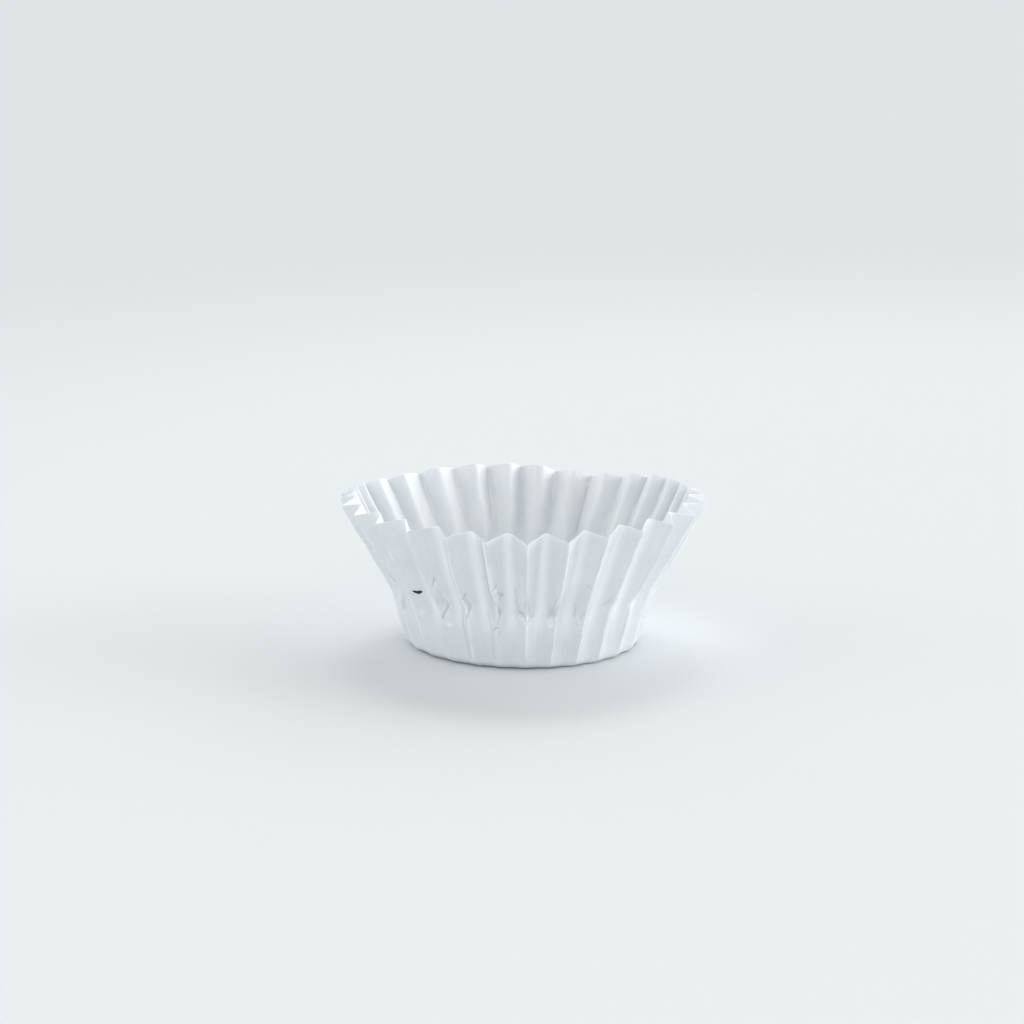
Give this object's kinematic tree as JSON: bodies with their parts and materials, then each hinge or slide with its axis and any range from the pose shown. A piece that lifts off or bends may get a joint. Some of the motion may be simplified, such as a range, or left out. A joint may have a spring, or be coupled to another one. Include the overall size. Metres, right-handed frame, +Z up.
{
  "type": "cupcake liner",
  "caption": "Pleated white paper cupcake liner: a round sheet pressed into a flat-bottomed, flared cup with a zigzag wall and rim.",
  "frame": {"origin": "centre of the flat base's underside, where the cup stands", "axes": "+Z up along the cup's axis to its open rim; -Y is the front, +X its right-hand side as seen from the front"},
  "size_m": [0.0804, 0.0844, 0.0334],
  "materials": {
    "paper": "smooth white baking paper with a satin sheen"
  },
  "bodies": {
    "root": {"liner": "paper"}
  },
  "joints": []
}
